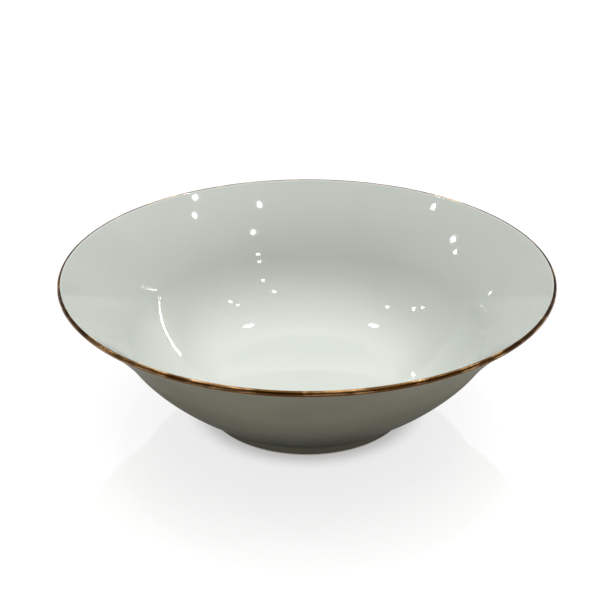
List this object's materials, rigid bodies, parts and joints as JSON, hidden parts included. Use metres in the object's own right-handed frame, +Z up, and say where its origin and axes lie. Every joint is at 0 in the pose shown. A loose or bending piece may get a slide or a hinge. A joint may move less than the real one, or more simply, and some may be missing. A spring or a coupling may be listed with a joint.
{
  "type": "porcelain serving bowl",
  "caption": "Round porcelain serving bowl with a flared lip, flat well, low foot ring, pale glazed inside, warm grey glazed outside and a gilt band over the rim.",
  "frame": {"origin": "centre of the foot ring's bearing plane, on the bowl's axis", "axes": "+Z up along the bowl's axis, from the foot to the rim; X and Y in the bearing plane"},
  "size_m": [0.23, 0.23, 0.073],
  "materials": {
    "biscuit": "unglazed fired porcelain, fine and matte",
    "pale_glaze": "clear gloss, faintly green white",
    "grey_glaze": "satin, warm grey",
    "gilt": "brushed-on fired gold, bright with brown lows"
  },
  "bodies": {
    "root": {"porcelain_body": "biscuit", "foot_ring": "biscuit", "inner_glaze": "pale_glaze", "outer_glaze": "grey_glaze", "foot_recess_glaze": "grey_glaze", "gilt_rim_band": "gilt"}
  },
  "joints": []
}
